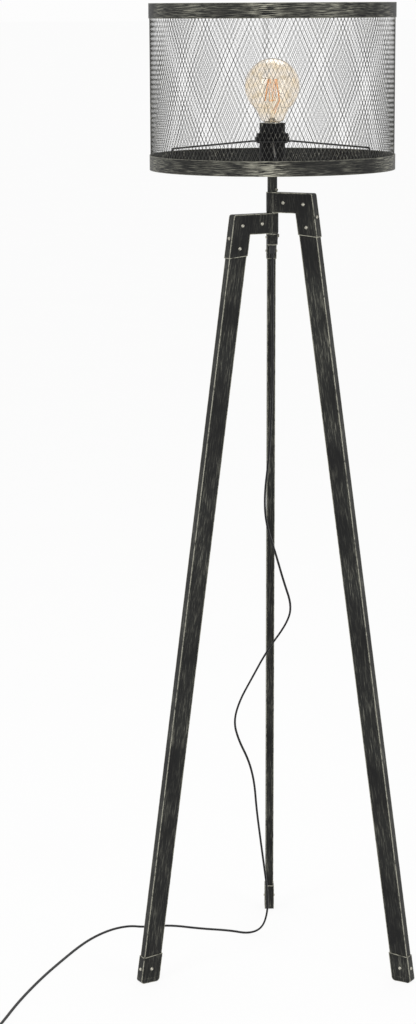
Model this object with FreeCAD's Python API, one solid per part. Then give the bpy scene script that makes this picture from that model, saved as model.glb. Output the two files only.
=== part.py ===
"""Tripod floor lamp with an open drum shade of expanded metal, as separate pieces.

Millimetres, +Z up.  The origin is on the floor, on the axis of the stem.  -Y is the front.
Three legs hang from brackets whose sleeves are stacked on the stem, 120 degrees apart.
"""
import FreeCAD, Part
import math
import os

from FreeCAD import Vector

OUT_DIR = "parts"

# ---- driving dimensions -------------------------------------------------
# Shade
SHADE_RISE = 222.1             # the shade's top above the washer that carries it
SHADE_HEIGHT = 266.3
SHADE_OD = 400.0
BAND_HEIGHT = 24.0
BAND_WALL = 1.0
MESH_WALL = 1.2
MESH_FIT = 0.1                 # between the mesh and the bands round it
MESH_EDGE_INSET = 2.0          # the mesh stops this far short of the band's open edge
MESH_COLUMNS = 36
MESH_ROWS = 3                  # rows of whole diamonds, one above another
MESH_STRAND = 3.0              # width of a strand between two diamonds
CUT_THROUGH = 8.0              # how far a cutter reaches past a wall it opens
RIVET_R = 2.2
RIVET_PROUD = 0.8
RIVET_SPACING = 8.0

# Shade carrier: a washer with three round arms
CARRIER_WASHER_R = 32.0
CARRIER_WASHER_T = 1.5
CARRIER_WIRE_R = 1.5
CARRIER_BEND_RISE = 28.7       # an arm's bend above the shade's lower edge
CARRIER_BEND_INSET = 9.5       # an arm's bend inside the mesh
CARRIER_TAIL = 21.0            # how far the bent end drops to the band
CARRIER_FIT = 0.1              # between the bent end and the mesh
CARRIER_OVERLAP = 2.0          # how far an arm's root reaches into the washer
CARRIER_ANGLES = (30.0, 150.0, 270.0)

# Lampholder
SKIRT_R = 21.0
SKIRT_RISE = 30.0              # the skirt's rim above the shade's carrier
SKIRT_FLANGE_R = 25.0
SKIRT_FLANGE_T = 2.0
SKIRT_WALL = 2.0
RING_R = 28.0
RING_H = 12.0
RING_RIBS = 24
CAP_HEIGHT = 48.0
CAP_WALL = 2.0
CAP_NECK_R = 9.5
CAP_NECK_H = 4.0
CAP_CONE_H = 8.0               # the cap widens over this height above its neck
CAP_FLOOR = 6.0
INSERT_H = 9.0
SKIRT_LIP = 1.5
SKIRT_BORE_FIT = 0.6           # round the bulb's screw cap
SKIRT_THROAT = 6.0             # depth of the flare at each end of the skirt's bore
GRIP_STEP = 2.0                # the ribbed half of the ring is this much smaller
GRIP_RIB_R = 0.8
CONTACT_R = 3.5
CONTACT_H = 1.4
CONTACT_SHEET = 0.5
CONTACT_WIDTH = 2.0
CONTACT_REACH = 6.0
CORD_IN_INSERT = 5.0           # how deep the cord's end sits in the insert
SEAT_GAP = 0.1                 # between pieces that rest on one another in the holder
THREAD_GAP = 0.2               # clearance of the screwed lampholder parts

# Bulb
BULB_R = 45.0
BULB_RISE = 59.0               # the globe's centre above the skirt's rim
BULB_NECK_R = 18.5
BULB_SEAT = 5.0                # how deep the glass sits in the screw cap
BULB_WALL = 1.0
BULB_SHOULDER = 52.0           # degrees below the middle where the globe meets its neck's cone
THROAT_STEP = 0.5
THROAT_FLARE = 2.5
SCREW_CAP_R = 13.2
SCREW_CAP_H = 20.0
SCREW_CAP_WALL = 0.6
CEMENT_GAP = 0.2
TIP_R = 4.2
TIP_H = 1.0
INSULATOR_H = 4.0
INSULATOR_LOW_R = 5.0
INSULATOR_TOP_R = 10.0
FLARE_R = SCREW_CAP_R - 2.0     # foot of the glass stem, sealed in the bulb's neck
FLARE_EDGE = 1.0
GLASS_STEM_FLARE_H = 12.0
GLASS_STEM_R = 4.0
GLASS_STEM_PRESS_H = 10.0
GLASS_STEM_ROD_R = 1.6
GLASS_STEM_OVER = 12.0         # the glass rod's end above the globe's centre
FILAMENT_DROP = 6.0            # the filament's middle below the globe's centre
LEAD_X = 2.5
FILAMENT_R = 0.5
FILAMENT_TOP_R = 8.0
FILAMENT_LOW_R = 12.0
FILAMENT_H = 34.0
FILAMENT_STRANDS = 8

# Stem
STEM_R = 8.0
STEM_WALL = 1.2
STEM_RISE = 31.5               # the stem's top above the highest bracket
STEM_FOOT = 0.5                # the stem's end below the rear bracket's sleeve
NIPPLE_R = 5.0
NIPPLE_BORE_R = 3.5
NIPPLE_LENGTH = 26.0
NIPPLE_SUNK = 12.0             # how deep the nipple sits in the stem
NUT_ACROSS_R = 8.0
NUT_H = 4.0
BUSH_H = 14.0

# Brackets and their sleeves
HUB_TOP_Z = 1313.5             # top of the highest bracket
SLEEVE_R = 10.0
SLEEVE_ROUND = 2.0
REAR_SLEEVE_ROUND = 0.5
ARM_HEIGHT = 33.0
WASHER_T = 0.8
WASHER_GAP = 0.1
SHEET = 1.2
SOCKET_INNER = 67.5            # from the bracket's top to the socket's end, inner side
SOCKET_OUTER = 70.5
REAR_SLEEVE_R = 8.8            # the rear bracket is fixed to the stem and is shorter
REAR_ARM_HEIGHT = 18.0
REAR_SOCKET_INNER = 46.0
REAR_SOCKET_OUTER = 48.5
CORNER_R = 4.0
RUN_FIT = 0.05                 # radial clearance of a sleeve that turns on the stem
SEAT_FIT = 0.05                # clearance round a leg in its socket or shoe

# Legs
LEG_WIDTH = 31.7
LEG_THICK = 14.0
LEG_WALL = 1.2
LEG_TILT = 8.3                 # degrees from upright
LEG_TOP_R = 75.5               # radius of the leg's outer face at its bracket's top
LEG_AZIMUTHS = {"right": -30.0, "left": 210.0, "rear": 90.0}
LEG_ORDER = ("right", "left", "rear")

# Shoes
SHOE_INNER_TOP = 48.0
SHOE_OUTER_TOP = 45.0
SHOE_FLOOR = 8.0
SHOE_INNER_ROUND = 7.0
SHOE_OUTER_ROUND = 5.0

# Screws
HEAD_R = 2.9
HEAD_CROWN_R = 1.6
HEAD_H = 1.7
SHANK_R = 1.5
SHANK_FIT = 0.05
# each: radius, depth below the bracket's top; the outer two keep their distance from the leg's face
ARM_SCREWS = ((24.0, 16.5), (LEG_TOP_R - 14.5, 18.0), (LEG_TOP_R - 9.0, 55.0))
SIDE_SCREW_DEPTH = 38.0
REAR_ARM_SCREWS = ((24.0, 9.0), (LEG_TOP_R - 14.5, 11.0), (LEG_TOP_R - 10.5, 34.0))
REAR_SIDE_SCREW_DEPTH = 24.0
SHOE_SCREW_Z = 23.5
SIDE_SHANK = 2.2

# Stem fittings
STOP_SCREW_RISE = 3.6          # above the highest bracket
STOP_SCREW_ANGLE = -35.0
STOP_SCREW_R = 2.2
STOP_SCREW_SUNK = 0.6          # inside the stem's bore
STOP_SCREW_PROUD = 1.8
LOCK_SCREW_R = 2.6
LOCK_SCREW_PROUD = 2.4
LOCK_SCREW_DROP = 3.2          # below the rear bracket's top

# Cord, switch and plug
CORD_R = 2.5
RELIEF_LENGTH = 12.0
RELIEF_TIP_R = 3.9
RELIEF_ROOT_R = 5.2
RELIEF_FLANGE_H = 2.0
RELIEF_PLUG_H = 6.0            # the part of the strain relief that fills the stem's end
PITCH_Z = ARM_HEIGHT + WASHER_T + 2 * WASHER_GAP
BRACKET_TOPS = {name: HUB_TOP_Z - i * PITCH_Z for i, name in enumerate(LEG_ORDER)}
STEM_BOTTOM_Z = BRACKET_TOPS["rear"] - REAR_ARM_HEIGHT - STEM_FOOT
CORD_EXIT_Z = STEM_BOTTOM_Z - RELIEF_FLANGE_H - RELIEF_LENGTH
FLOOR_Z = CORD_R + 0.1         # height of the cord's middle where it lies on the floor
CORD_ROUTE = [                 # chosen by hand, from the strain relief to the coil
    (0.0, 0.0, CORD_EXIT_Z), (0.8, 0.2, 1167.0), (0.5, 2.5, 1112.0), (0.0, 8.0, 1052.0),
    (0.5, 14.0, 1000.0), (-1.0, 21.0, 946.0), (-4.5, 27.0, 873.0), (-13.0, 32.0, 803.0), (-10.0, 36.0, 752.0),
    (6.0, 40.0, 703.0), (20.0, 43.0, 652.0), (34.5, 46.0, 608.0), (26.0, 50.0, 576.0),
    (-8.0, 53.5, 528.0), (-34.0, 57.0, 478.0), (-55.0, 60.5, 438.0), (-65.5, 62.5, 400.0),
    (-57.0, 65.5, 366.0), (-39.0, 68.5, 328.0), (-29.5, 71.5, 288.0), (-26.0, 75.0, 240.0),
    (-19.5, 79.0, 186.0), (-12.0, 83.5, 127.0), (-6.0, 87.5, 78.0), (-6.5, 89.5, 42.0),
    (-16.0, 91.5, 13.0), (-40.0, 96.0, FLOOR_Z), (-72.0, 113.0, FLOOR_Z),
    (-126.0, 123.0, FLOOR_Z), (-180.0, 142.0, FLOOR_Z), (-226.0, 132.0, FLOOR_Z),
    (-250.0, 139.0, FLOOR_Z), (-277.0, 126.0, FLOOR_Z), (-301.0, 100.0, FLOOR_Z),
    (-322.0, 67.0, FLOOR_Z), (-341.0, 26.0, FLOOR_Z), (-362.0, -28.0, FLOOR_Z),
    (-386.0, -92.0, FLOOR_Z), (-408.0, -160.0, FLOOR_Z), (-427.0, -228.0, FLOOR_Z),
    (-441.0, -290.0, FLOOR_Z), (-454.0, -342.0, FLOOR_Z), (-454.0, -386.0, FLOOR_Z),
]
COIL_TURNS = 3.5
COIL_OUTER_R = 32.5            # middle of the outermost turn
COIL_PITCH = 6.5               # sideways step of one turn
COIL_OUTLET = 31.0             # straight end that clears the coil before the switch
COIL_LAYER = 5.8               # rise from the lower layer to the upper
COIL_JOINT = 0.05              # gap between the run's end and the coil's start
SWITCH_LENGTH = 58.0
SWITCH_WIDTH = 24.0
SWITCH_HEIGHT = 18.0
SWITCH_WALL = 2.0
BUTTON_LENGTH = 20.0
BUTTON_WIDTH = 12.0
BUTTON_PROUD = 3.5
BUTTON_TRAVEL = 2.0
BUTTON_FIT = 0.3
BUTTON_SKIRT = 4.0             # the button's height below the case's roof
BUTTON_ROUND = 1.5
SWITCH_ROUND = 5.0
SWITCH_END_WALL = 6.0
PORT_R = CORD_R - 0.5          # the cord is gripped where it enters
TAIL_LENGTH = 24.0
PLUG_LENGTH = 36.0
PLUG_WIDTH = 26.0
PLUG_HEIGHT = 13.0
PLUG_TAIL_WIDTH = 9.0
PLUG_TAPER = 16.0              # length of the plug's narrowing end
PLUG_ROUND = 2.5
PIN_R = 2.0
PIN_LENGTH = 19.0
PIN_SPACING = 19.0

# ---- worked out from them -----------------------------------------------
STEM_TOP_Z = HUB_TOP_Z + STEM_RISE
CAP_BOTTOM_Z = STEM_TOP_Z
CAP_TOP_Z = CAP_BOTTOM_Z + CAP_HEIGHT
CARRIER_Z = CAP_TOP_Z + SKIRT_FLANGE_T          # underside of the carrier's washer
SKIRT_TOP_Z = CARRIER_Z + SKIRT_RISE
BULB_CENTRE_Z = SKIRT_TOP_Z + BULB_RISE
SHADE_TOP_Z = CARRIER_Z + SHADE_RISE
STOP_SCREW_Z = HUB_TOP_Z + STOP_SCREW_RISE
SHADE_R = SHADE_OD / 2
SHADE_BOTTOM_Z = SHADE_TOP_Z - SHADE_HEIGHT
BAND_INNER_R = SHADE_R - BAND_WALL
MESH_OUTER_R = BAND_INNER_R - MESH_FIT
MESH_INNER_R = MESH_OUTER_R - MESH_WALL
TILT = math.radians(LEG_TILT)
BRACKET_THICK = LEG_THICK + 2 * (SEAT_FIT + SHEET)
SKIN = (SHEET + SEAT_FIT) / math.cos(TILT)      # sheet and clearance, measured level
COIL_CENTRE = Vector(CORD_ROUTE[-1][0] - COIL_OUTER_R, CORD_ROUTE[-1][1] - 2 * CORD_R, 0)


# ---- small helpers ------------------------------------------------------
def save(name, *solids):
    """Write one node: a single solid, or a group of separate ones."""
    shape = solids[0] if len(solids) == 1 else Part.makeCompound(list(solids))
    shape.exportStep(os.path.join(OUT_DIR, name + ".step"))
    print("%-24s %3d solids %10.1f mm3" % (name, len(shape.Solids), shape.Volume))


def rod(radius, z0, z1, x=0.0, y=0.0):
    return Part.makeCylinder(radius, z1 - z0, Vector(x, y, z0))


def tube(outer_r, inner_r, z0, z1):
    return rod(outer_r, z0, z1).cut(rod(inner_r, z0 - 1, z1 + 1))


def bar(start, end, radius):
    """Round bar between two points."""
    along = end - start
    return Part.makeCylinder(radius, along.Length, start, along)


def revolve(points):
    """Solid of revolution about Z from a closed outline of (radius, z) points."""
    corners = [Vector(r, 0, z) for r, z in points]
    face = Part.Face(Part.makePolygon(corners + corners[:1]))
    return face.revolve(Vector(0, 0, 0), Vector(0, 0, 1), 360)


def plate(points, thickness):
    """Prism of an outline in the radius-height plane, centred on that plane."""
    corners = [Vector(r, -thickness / 2, z) for r, z in points]
    face = Part.Face(Part.makePolygon(corners + corners[:1]))
    return face.extrude(Vector(0, thickness, 0))


def turned(shape, degrees):
    """The same shape, turned about the stem's axis."""
    copy = shape.copy()
    copy.rotate(Vector(0, 0, 0), Vector(0, 0, 1), degrees)
    return copy


def round_corner(solid, radius_at, z_at, round_r):
    """Round the crosswise edge that passes through one corner of a plate."""
    corner = Vector(radius_at, 0, z_at)
    edges = [e for e in solid.Edges
             if e.distToShape(Part.Vertex(corner))[0] < 0.01
             and abs(e.tangentAt(e.FirstParameter).y) > 0.99]
    return solid.makeFillet(round_r, edges)


# ---- shade --------------------------------------------------------------
def make_bands():
    top = tube(SHADE_R, BAND_INNER_R, SHADE_TOP_Z - BAND_HEIGHT, SHADE_TOP_Z)
    bottom = tube(SHADE_R, BAND_INNER_R, SHADE_BOTTOM_Z, SHADE_BOTTOM_Z + BAND_HEIGHT)
    holes = band_rivets(SHANK_FIT)
    save("shade_top_band", top.cut(holes))
    save("shade_bottom_band", bottom.cut(holes))
    save("shade_band_rivets", *band_rivets(0))


def band_rivets(grow):
    """Two rivets in each band hold its overlapped seam at the back."""
    rivets = []
    for z in (SHADE_BOTTOM_Z + BAND_HEIGHT / 2, SHADE_TOP_Z - BAND_HEIGHT / 2):
        for x in (-RIVET_SPACING / 2, RIVET_SPACING / 2):
            rivet = bar(Vector(x, MESH_INNER_R, z), Vector(x, SHADE_R + RIVET_PROUD, z), RIVET_R + grow)
            rivets.append(rivet)
    return rivets


def make_mesh():
    """Open diamond lattice between the two bands, cut from a thin rolled wall."""
    wall = tube(MESH_OUTER_R, MESH_INNER_R,
                SHADE_BOTTOM_Z + MESH_EDGE_INSET, SHADE_TOP_Z - MESH_EDGE_INSET)
    window_z0 = SHADE_BOTTOM_Z + BAND_HEIGHT
    pitch_z = (SHADE_HEIGHT - 2 * BAND_HEIGHT) / MESH_ROWS
    pitch_a = 360.0 / MESH_COLUMNS
    half_w = math.radians(pitch_a) * BAND_INNER_R / 2 - MESH_STRAND / 2
    half_h = pitch_z / 2 - MESH_STRAND / 2
    inside = MESH_INNER_R - CUT_THROUGH
    corners = [Vector(inside, dy, dz)
               for dy, dz in ((half_w, 0), (0, half_h), (-half_w, 0), (0, -half_h))]
    diamond = Part.Face(Part.makePolygon(corners + corners[:1])).extrude(Vector(2 * CUT_THROUGH, 0, 0))
    behind_band = BAND_HEIGHT / 2       # how far a cut-off diamond reaches behind its band
    slab = Part.makeBox(SHADE_OD, SHADE_OD, pitch_z, Vector(0, -SHADE_R, -behind_band))
    first = diamond.common(slab)
    slab.translate(Vector(0, 0, 2 * behind_band - pitch_z))
    last = diamond.common(slab)
    cutters = []
    rows = 2 * MESH_ROWS
    for row in range(rows + 1):
        shape = {0: first, rows: last}.get(row, diamond).copy()
        shape.translate(Vector(0, 0, window_z0 + row * pitch_z / 2))
        for column in range(MESH_COLUMNS):
            cutters.append(turned(shape, (column + 0.5 * (row % 2)) * pitch_a))
    save("shade_mesh", wall.cut(cutters + band_rivets(SHANK_FIT)))


def make_carrier():
    washer = tube(CARRIER_WASHER_R, SKIRT_R + THREAD_GAP, CARRIER_Z, CARRIER_Z + CARRIER_WASHER_T)
    middle_z = CARRIER_Z + CARRIER_WASHER_T / 2
    bend_z = SHADE_BOTTOM_Z + CARRIER_BEND_RISE
    bend = Vector(MESH_INNER_R - CARRIER_BEND_INSET, 0, bend_z)
    end = Vector(MESH_INNER_R - CARRIER_WIRE_R - CARRIER_FIT, 0, bend_z - CARRIER_TAIL)
    start = Vector(CARRIER_WASHER_R - CARRIER_OVERLAP, 0, middle_z)
    arm = bar(start, bend, CARRIER_WIRE_R)
    arm = arm.fuse([bar(bend, end, CARRIER_WIRE_R), Part.makeSphere(CARRIER_WIRE_R, bend)])
    carrier = washer.fuse([turned(arm, angle) for angle in CARRIER_ANGLES])
    save("shade_carrier", carrier.cut(rod(SKIRT_R + THREAD_GAP, CARRIER_Z - SKIRT_R, CARRIER_Z + SKIRT_R)))


# ---- lampholder ---------------------------------------------------------
def make_lampholder():
    nipple_hole = NIPPLE_R + THREAD_GAP
    neck_z = CAP_BOTTOM_Z + CAP_NECK_H
    cone_z = neck_z + CAP_CONE_H
    floor_z = CAP_BOTTOM_Z + CAP_FLOOR
    cap = revolve([(nipple_hole, CAP_BOTTOM_Z), (CAP_NECK_R, CAP_BOTTOM_Z), (CAP_NECK_R, neck_z),
                   (SKIRT_R, cone_z), (SKIRT_R, CAP_TOP_Z), (SKIRT_R - CAP_WALL, CAP_TOP_Z),
                   (SKIRT_R - CAP_WALL, cone_z + CAP_WALL / 2), (CAP_NECK_R + CAP_WALL / 2, floor_z),
                   (nipple_hole, floor_z)])
    save("lampholder_cap", cap)

    bore = SCREW_CAP_R + SKIRT_BORE_FIT
    ledge_z = CARRIER_Z + SKIRT_THROAT
    skirt = revolve([(SKIRT_R - SKIRT_WALL, CAP_TOP_Z), (SKIRT_FLANGE_R, CAP_TOP_Z),
                     (SKIRT_FLANGE_R, CARRIER_Z), (SKIRT_R, CARRIER_Z), (SKIRT_R, SKIRT_TOP_Z),
                     (SKIRT_R - SKIRT_LIP, SKIRT_TOP_Z), (bore, SKIRT_TOP_Z - SKIRT_THROAT),
                     (bore, ledge_z), (SKIRT_R - SKIRT_WALL, ledge_z)])
    save("lampholder_skirt", skirt)

    ring_z = CARRIER_Z + CARRIER_WASHER_T
    step_z = ring_z + RING_H / 2
    grip_r = RING_R - GRIP_STEP
    ring = tube(RING_R, SKIRT_R + THREAD_GAP, ring_z, step_z)
    grip = tube(grip_r, SKIRT_R + THREAD_GAP, step_z, ring_z + RING_H)
    groove = rod(GRIP_RIB_R, step_z + GRIP_RIB_R, ring_z + RING_H + GRIP_RIB_R, grip_r)
    grooves = [turned(groove, i * 360 / RING_RIBS) for i in range(RING_RIBS)]
    save("lampholder_shade_ring", ring.fuse(grip.cut(grooves)))

    insert_z = ledge_z - INSERT_H - SEAT_GAP
    insert = rod(SKIRT_R - SKIRT_WALL - THREAD_GAP, insert_z, insert_z + INSERT_H)
    save("lampholder_insert", insert.cut(rod(CORD_R, insert_z - 1, insert_z + CORD_IN_INSERT)))
    contact_z = insert_z + INSERT_H
    centre = rod(CONTACT_R, contact_z, contact_z + CONTACT_H)
    outside = bore - SEAT_FIT
    upright = Vector(outside - CONTACT_SHEET, -CONTACT_WIDTH / 2, contact_z)
    side = Part.makeBox(CONTACT_SHEET, CONTACT_WIDTH, CONTACT_REACH, upright)
    foot = Vector(outside - CONTACT_REACH / 2, -CONTACT_WIDTH / 2, contact_z)
    base = Part.makeBox(CONTACT_REACH / 2, CONTACT_WIDTH, CONTACT_SHEET, foot)
    save("lampholder_contacts", centre, side.fuse(base))
    return insert_z, contact_z + CONTACT_H


# ---- bulb ---------------------------------------------------------------
def globe_outline(radius, neck_r, low_z):
    """Half outline of the globe: neck, cone and an arc to the crown, as one face."""
    centre = Vector(0, 0, BULB_CENTRE_Z)
    low = math.radians(-BULB_SHOULDER)
    shoulder = centre + Vector(radius * math.cos(low), 0, radius * math.sin(low))
    side = centre + Vector(radius, 0, 0)
    crown = centre + Vector(0, 0, radius)
    foot_r = SCREW_CAP_R - SCREW_CAP_WALL - CEMENT_GAP - (BULB_NECK_R - neck_r)
    foot = Vector(foot_r, 0, low_z)
    throat = Vector(foot_r, 0, low_z + BULB_SEAT + THROAT_STEP)
    neck = Vector(neck_r, 0, throat.z + THROAT_FLARE)
    upper = centre + Vector(radius, 0, radius) * math.sqrt(0.5)
    near_crown = centre + Vector(radius * math.sin(0.4), 0, radius * math.cos(0.4))
    edges = [Part.LineSegment(Vector(0, 0, low_z), foot), Part.LineSegment(foot, throat),
             Part.LineSegment(throat, neck), Part.LineSegment(neck, shoulder),
             Part.Arc(shoulder, side, upper), Part.Arc(upper, near_crown, crown),
             Part.LineSegment(crown, Vector(0, 0, low_z))]
    face = Part.Face(Part.Wire([e.toShape() for e in edges]))
    return face.revolve(Vector(0, 0, 0), Vector(0, 0, 1), 360)


def make_bulb(contact_z):
    tip_z = contact_z + SEAT_GAP
    insulator_top = tip_z + INSULATOR_H
    cap_top = insulator_top + SCREW_CAP_H
    tip = rod(TIP_R, tip_z, tip_z + TIP_H)
    insulator = Part.makeCone(INSULATOR_LOW_R, INSULATOR_TOP_R, INSULATOR_H - TIP_H,
                              Vector(0, 0, tip_z + TIP_H))
    save("bulb_insulator", insulator.fuse(tip))
    cap = tube(SCREW_CAP_R, SCREW_CAP_R - SCREW_CAP_WALL, insulator_top, cap_top)
    floor = rod(SCREW_CAP_R, insulator_top, insulator_top + SCREW_CAP_WALL)
    save("bulb_screw_cap", cap.fuse(floor))

    glass_z = cap_top - BULB_SEAT
    outside = globe_outline(BULB_R, BULB_NECK_R, glass_z)
    inside = globe_outline(BULB_R - BULB_WALL, BULB_NECK_R - BULB_WALL, glass_z - 0.01)
    save("bulb_glass", outside.cut(inside))

    pinch_z = glass_z + GLASS_STEM_FLARE_H
    press_z = pinch_z + GLASS_STEM_PRESS_H
    rod_z = press_z + GLASS_STEM_ROD_R
    button_z = BULB_CENTRE_Z + GLASS_STEM_OVER
    support = revolve([(0, glass_z), (FLARE_R, glass_z), (FLARE_R, glass_z + FLARE_EDGE),
                       (GLASS_STEM_R, pinch_z), (GLASS_STEM_R - FLARE_EDGE, press_z),
                       (GLASS_STEM_ROD_R, rod_z), (GLASS_STEM_ROD_R, button_z), (0, button_z)])
    save("bulb_glass_stem", support)

    low_z = BULB_CENTRE_Z - FILAMENT_H / 2 - FILAMENT_DROP
    high_z = low_z + FILAMENT_H
    points = []
    for i in range(2 * FILAMENT_STRANDS):
        angle = math.pi * i / FILAMENT_STRANDS
        level = (i + 1) // 2 % 2
        radius, z = ((FILAMENT_LOW_R, low_z), (FILAMENT_TOP_R, high_z))[level]
        points.append(Vector(radius * math.cos(angle), radius * math.sin(angle), z))
    wire = bar(points[0], points[1], FILAMENT_R)
    for a, b in zip(points[1:-1], points[2:]):
        wire = wire.fuse([bar(a, b, FILAMENT_R), Part.makeSphere(FILAMENT_R, a)])
    lead_z = (pinch_z + press_z) / 2 - FLARE_EDGE
    leads = [bar(Vector(LEAD_X, 0, lead_z), points[0], FILAMENT_R),
             bar(Vector(-LEAD_X, 0, lead_z), points[-1], FILAMENT_R)]
    ends = [Part.makeSphere(FILAMENT_R, p) for p in (points[0], points[-1])]
    save("bulb_filament", wire.fuse(leads + ends).cut(support))


# ---- stem and what is fixed to it ---------------------------------------
def make_stem(insert_z):
    bore_r = STEM_R - STEM_WALL
    stem = tube(STEM_R, bore_r, STEM_BOTTOM_Z, STEM_TOP_Z)
    aim = math.radians(STOP_SCREW_ANGLE)
    out = Vector(math.cos(aim), math.sin(aim), 0)
    level = Vector(0, 0, STOP_SCREW_Z)
    stop_hole = bar(level, level + out * 2 * STEM_R, STOP_SCREW_R + SHANK_FIT)
    save("stem_tube", stem.cut(stop_hole))
    save("stem_bush", tube(bore_r, NIPPLE_R, STEM_TOP_Z - BUSH_H, STEM_TOP_Z))
    nipple_z = STEM_TOP_Z - NIPPLE_SUNK
    save("threaded_nipple", tube(NIPPLE_R, NIPPLE_BORE_R, nipple_z, nipple_z + NIPPLE_LENGTH))
    nut_z = CAP_BOTTOM_Z + CAP_FLOOR
    hexagon = Part.makePolygon([Vector(NUT_ACROSS_R * math.cos(math.radians(60 * i)),
                                       NUT_ACROSS_R * math.sin(math.radians(60 * i)), nut_z)
                                for i in range(7)])
    nut = Part.Face(hexagon).extrude(Vector(0, 0, NUT_H))
    save("nipple_nut", nut.cut(rod(NIPPLE_R, nut_z - 1, nut_z + NUT_H + 1)))
    inner, crown = bore_r - STOP_SCREW_SUNK, STEM_R + STOP_SCREW_PROUD
    save("stop_screw", bar(level + out * inner, level + out * crown, STOP_SCREW_R))

    washers = [tube(SLEEVE_R, STEM_R + RUN_FIT, z, z + WASHER_T)
               for z in (BRACKET_TOPS["left"] + WASHER_GAP, BRACKET_TOPS["rear"] + WASHER_GAP)]
    save("hinge_washers", *washers)

    flange_z = STEM_BOTTOM_Z - RELIEF_FLANGE_H
    relief = revolve([(CORD_R, CORD_EXIT_Z), (RELIEF_TIP_R, CORD_EXIT_Z), (RELIEF_ROOT_R, flange_z),
                      (bore_r, flange_z), (bore_r, STEM_BOTTOM_Z),
                      (bore_r, STEM_BOTTOM_Z + RELIEF_PLUG_H), (CORD_R, STEM_BOTTOM_Z + RELIEF_PLUG_H)])
    save("cord_strain_relief", relief)
    save("cord_in_stem", rod(CORD_R, CORD_EXIT_Z, insert_z + CORD_IN_INSERT))


# ---- one leg ------------------------------------------------------------
def leg_outer(top_z, z):
    return LEG_TOP_R + (top_z - z) * math.tan(TILT)


def leg_inner(top_z, z):
    return leg_outer(top_z, z) - LEG_WIDTH / math.cos(TILT)


def leg_outline(top_z, z0, z1, grow):
    """Four corners of the leg between two heights, grown level by grow on each side."""
    return [(leg_inner(top_z, z0) - grow, z0), (leg_outer(top_z, z0) + grow, z0),
            (leg_outer(top_z, z1) + grow, z1), (leg_inner(top_z, z1) - grow, z1)]


def through_rivet(radius, z, thickness):
    """Shank with a domed head on each wide face."""
    half = thickness / 2
    shank = bar(Vector(radius, -half, z), Vector(radius, half, z), SHANK_R)
    heads = []
    for side in (-1, 1):
        seat = Vector(radius, side * half, z)
        crown = seat + Vector(0, side * HEAD_H, 0)
        heads.append(Part.makeCone(HEAD_R, HEAD_CROWN_R, HEAD_H, seat, crown - seat))
    return shank.fuse(heads)


def side_screw(radius, z):
    """Screw in the narrow outer face, square to the leg."""
    out = Vector(math.cos(TILT), 0, math.sin(TILT))
    seat = Vector(radius, 0, z)
    head = Part.makeCone(HEAD_R, HEAD_CROWN_R, HEAD_H, seat, out)
    return head.fuse(bar(seat - out * SIDE_SHANK, seat, SHANK_R))


def bored(solid, screws):
    """Cut a clearance hole for each screw's shank."""
    for radius, z, crosswise in screws:
        if crosswise:
            reach = Vector(0, BRACKET_THICK, 0)
            hole = bar(Vector(radius, 0, z) - reach, Vector(radius, 0, z) + reach, SHANK_R + SHANK_FIT)
        else:
            out = Vector(math.cos(TILT), 0, math.sin(TILT))
            seat = Vector(radius, 0, z)
            hole = bar(seat - out * (SIDE_SHANK + SHANK_R), seat + out * HEAD_R, SHANK_R + SHANK_FIT)
        solid = solid.cut(hole)
    return solid


def bracket_sizes(name):
    """Arm height, socket depths inside and outside, sleeve radius and its rounding."""
    if name == "rear":
        return REAR_ARM_HEIGHT, REAR_SOCKET_INNER, REAR_SOCKET_OUTER, REAR_SLEEVE_R, REAR_SLEEVE_ROUND
    return ARM_HEIGHT, SOCKET_INNER, SOCKET_OUTER, SLEEVE_R, SLEEVE_ROUND


def make_bracket(name, top_z):
    """Box-section arm and leg socket, fused to a sleeve on the stem."""
    arm_height, socket_inner, socket_outer, sleeve_r, sleeve_round = bracket_sizes(name)
    arm_z = top_z - arm_height
    inner_z, outer_z = top_z - socket_inner, top_z - socket_outer
    corner_r = leg_outer(top_z, top_z) + SKIN
    shell = plate([(0, arm_z), (leg_inner(top_z, arm_z) - SKIN, arm_z),
                   (leg_inner(top_z, inner_z) - SKIN, inner_z),
                   (leg_outer(top_z, outer_z) + SKIN, outer_z),
                   (corner_r, top_z), (0, top_z)], BRACKET_THICK)
    shell = round_corner(shell, corner_r, top_z, CORNER_R)
    hollow = LEG_THICK + 2 * SEAT_FIT
    fit = SEAT_FIT / math.cos(TILT)
    roof = top_z - SHEET
    near, far = sleeve_r + SHEET, SHEET         # the arm's room opens into the leg's
    arm_room = plate([(near, arm_z + SHEET), (leg_inner(top_z, arm_z) + far, arm_z + SHEET),
                      (leg_inner(top_z, roof) + far, roof), (near, roof)], hollow)
    leg_room = plate(leg_outline(top_z, outer_z - CUT_THROUGH, roof, fit), hollow)
    leg_room = round_corner(leg_room, leg_outer(top_z, roof) + fit, roof, CORNER_R - SHEET)
    sleeve = rod(sleeve_r, arm_z, top_z)
    sleeve = sleeve.makeFillet(sleeve_round, [e for e in sleeve.Edges if abs(e.BoundBox.ZMax - arm_z) < 0.01])
    body = shell.cut([arm_room, leg_room]).fuse(sleeve)
    return body.cut(rod(STEM_R + RUN_FIT, arm_z - 1, top_z + 1))


def make_leg_tube(top_z):
    roof = top_z - SHEET - SEAT_FIT
    outside = plate(leg_outline(top_z, SHOE_FLOOR + SEAT_FIT, roof, 0), LEG_THICK)
    outside = round_corner(outside, leg_outer(top_z, roof), roof, CORNER_R - SHEET)
    wall = LEG_WALL / math.cos(TILT)
    inside = plate(leg_outline(top_z, 0, top_z, -wall), LEG_THICK - 2 * LEG_WALL)
    cap_z = roof - LEG_WALL
    far = 2 * leg_outer(top_z, 0)
    keep = plate([(0, cap_z), (far, cap_z), (far, top_z + LEG_WIDTH), (0, top_z + LEG_WIDTH)], 2 * LEG_WIDTH)
    return outside.cut(inside.cut(keep))


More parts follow.
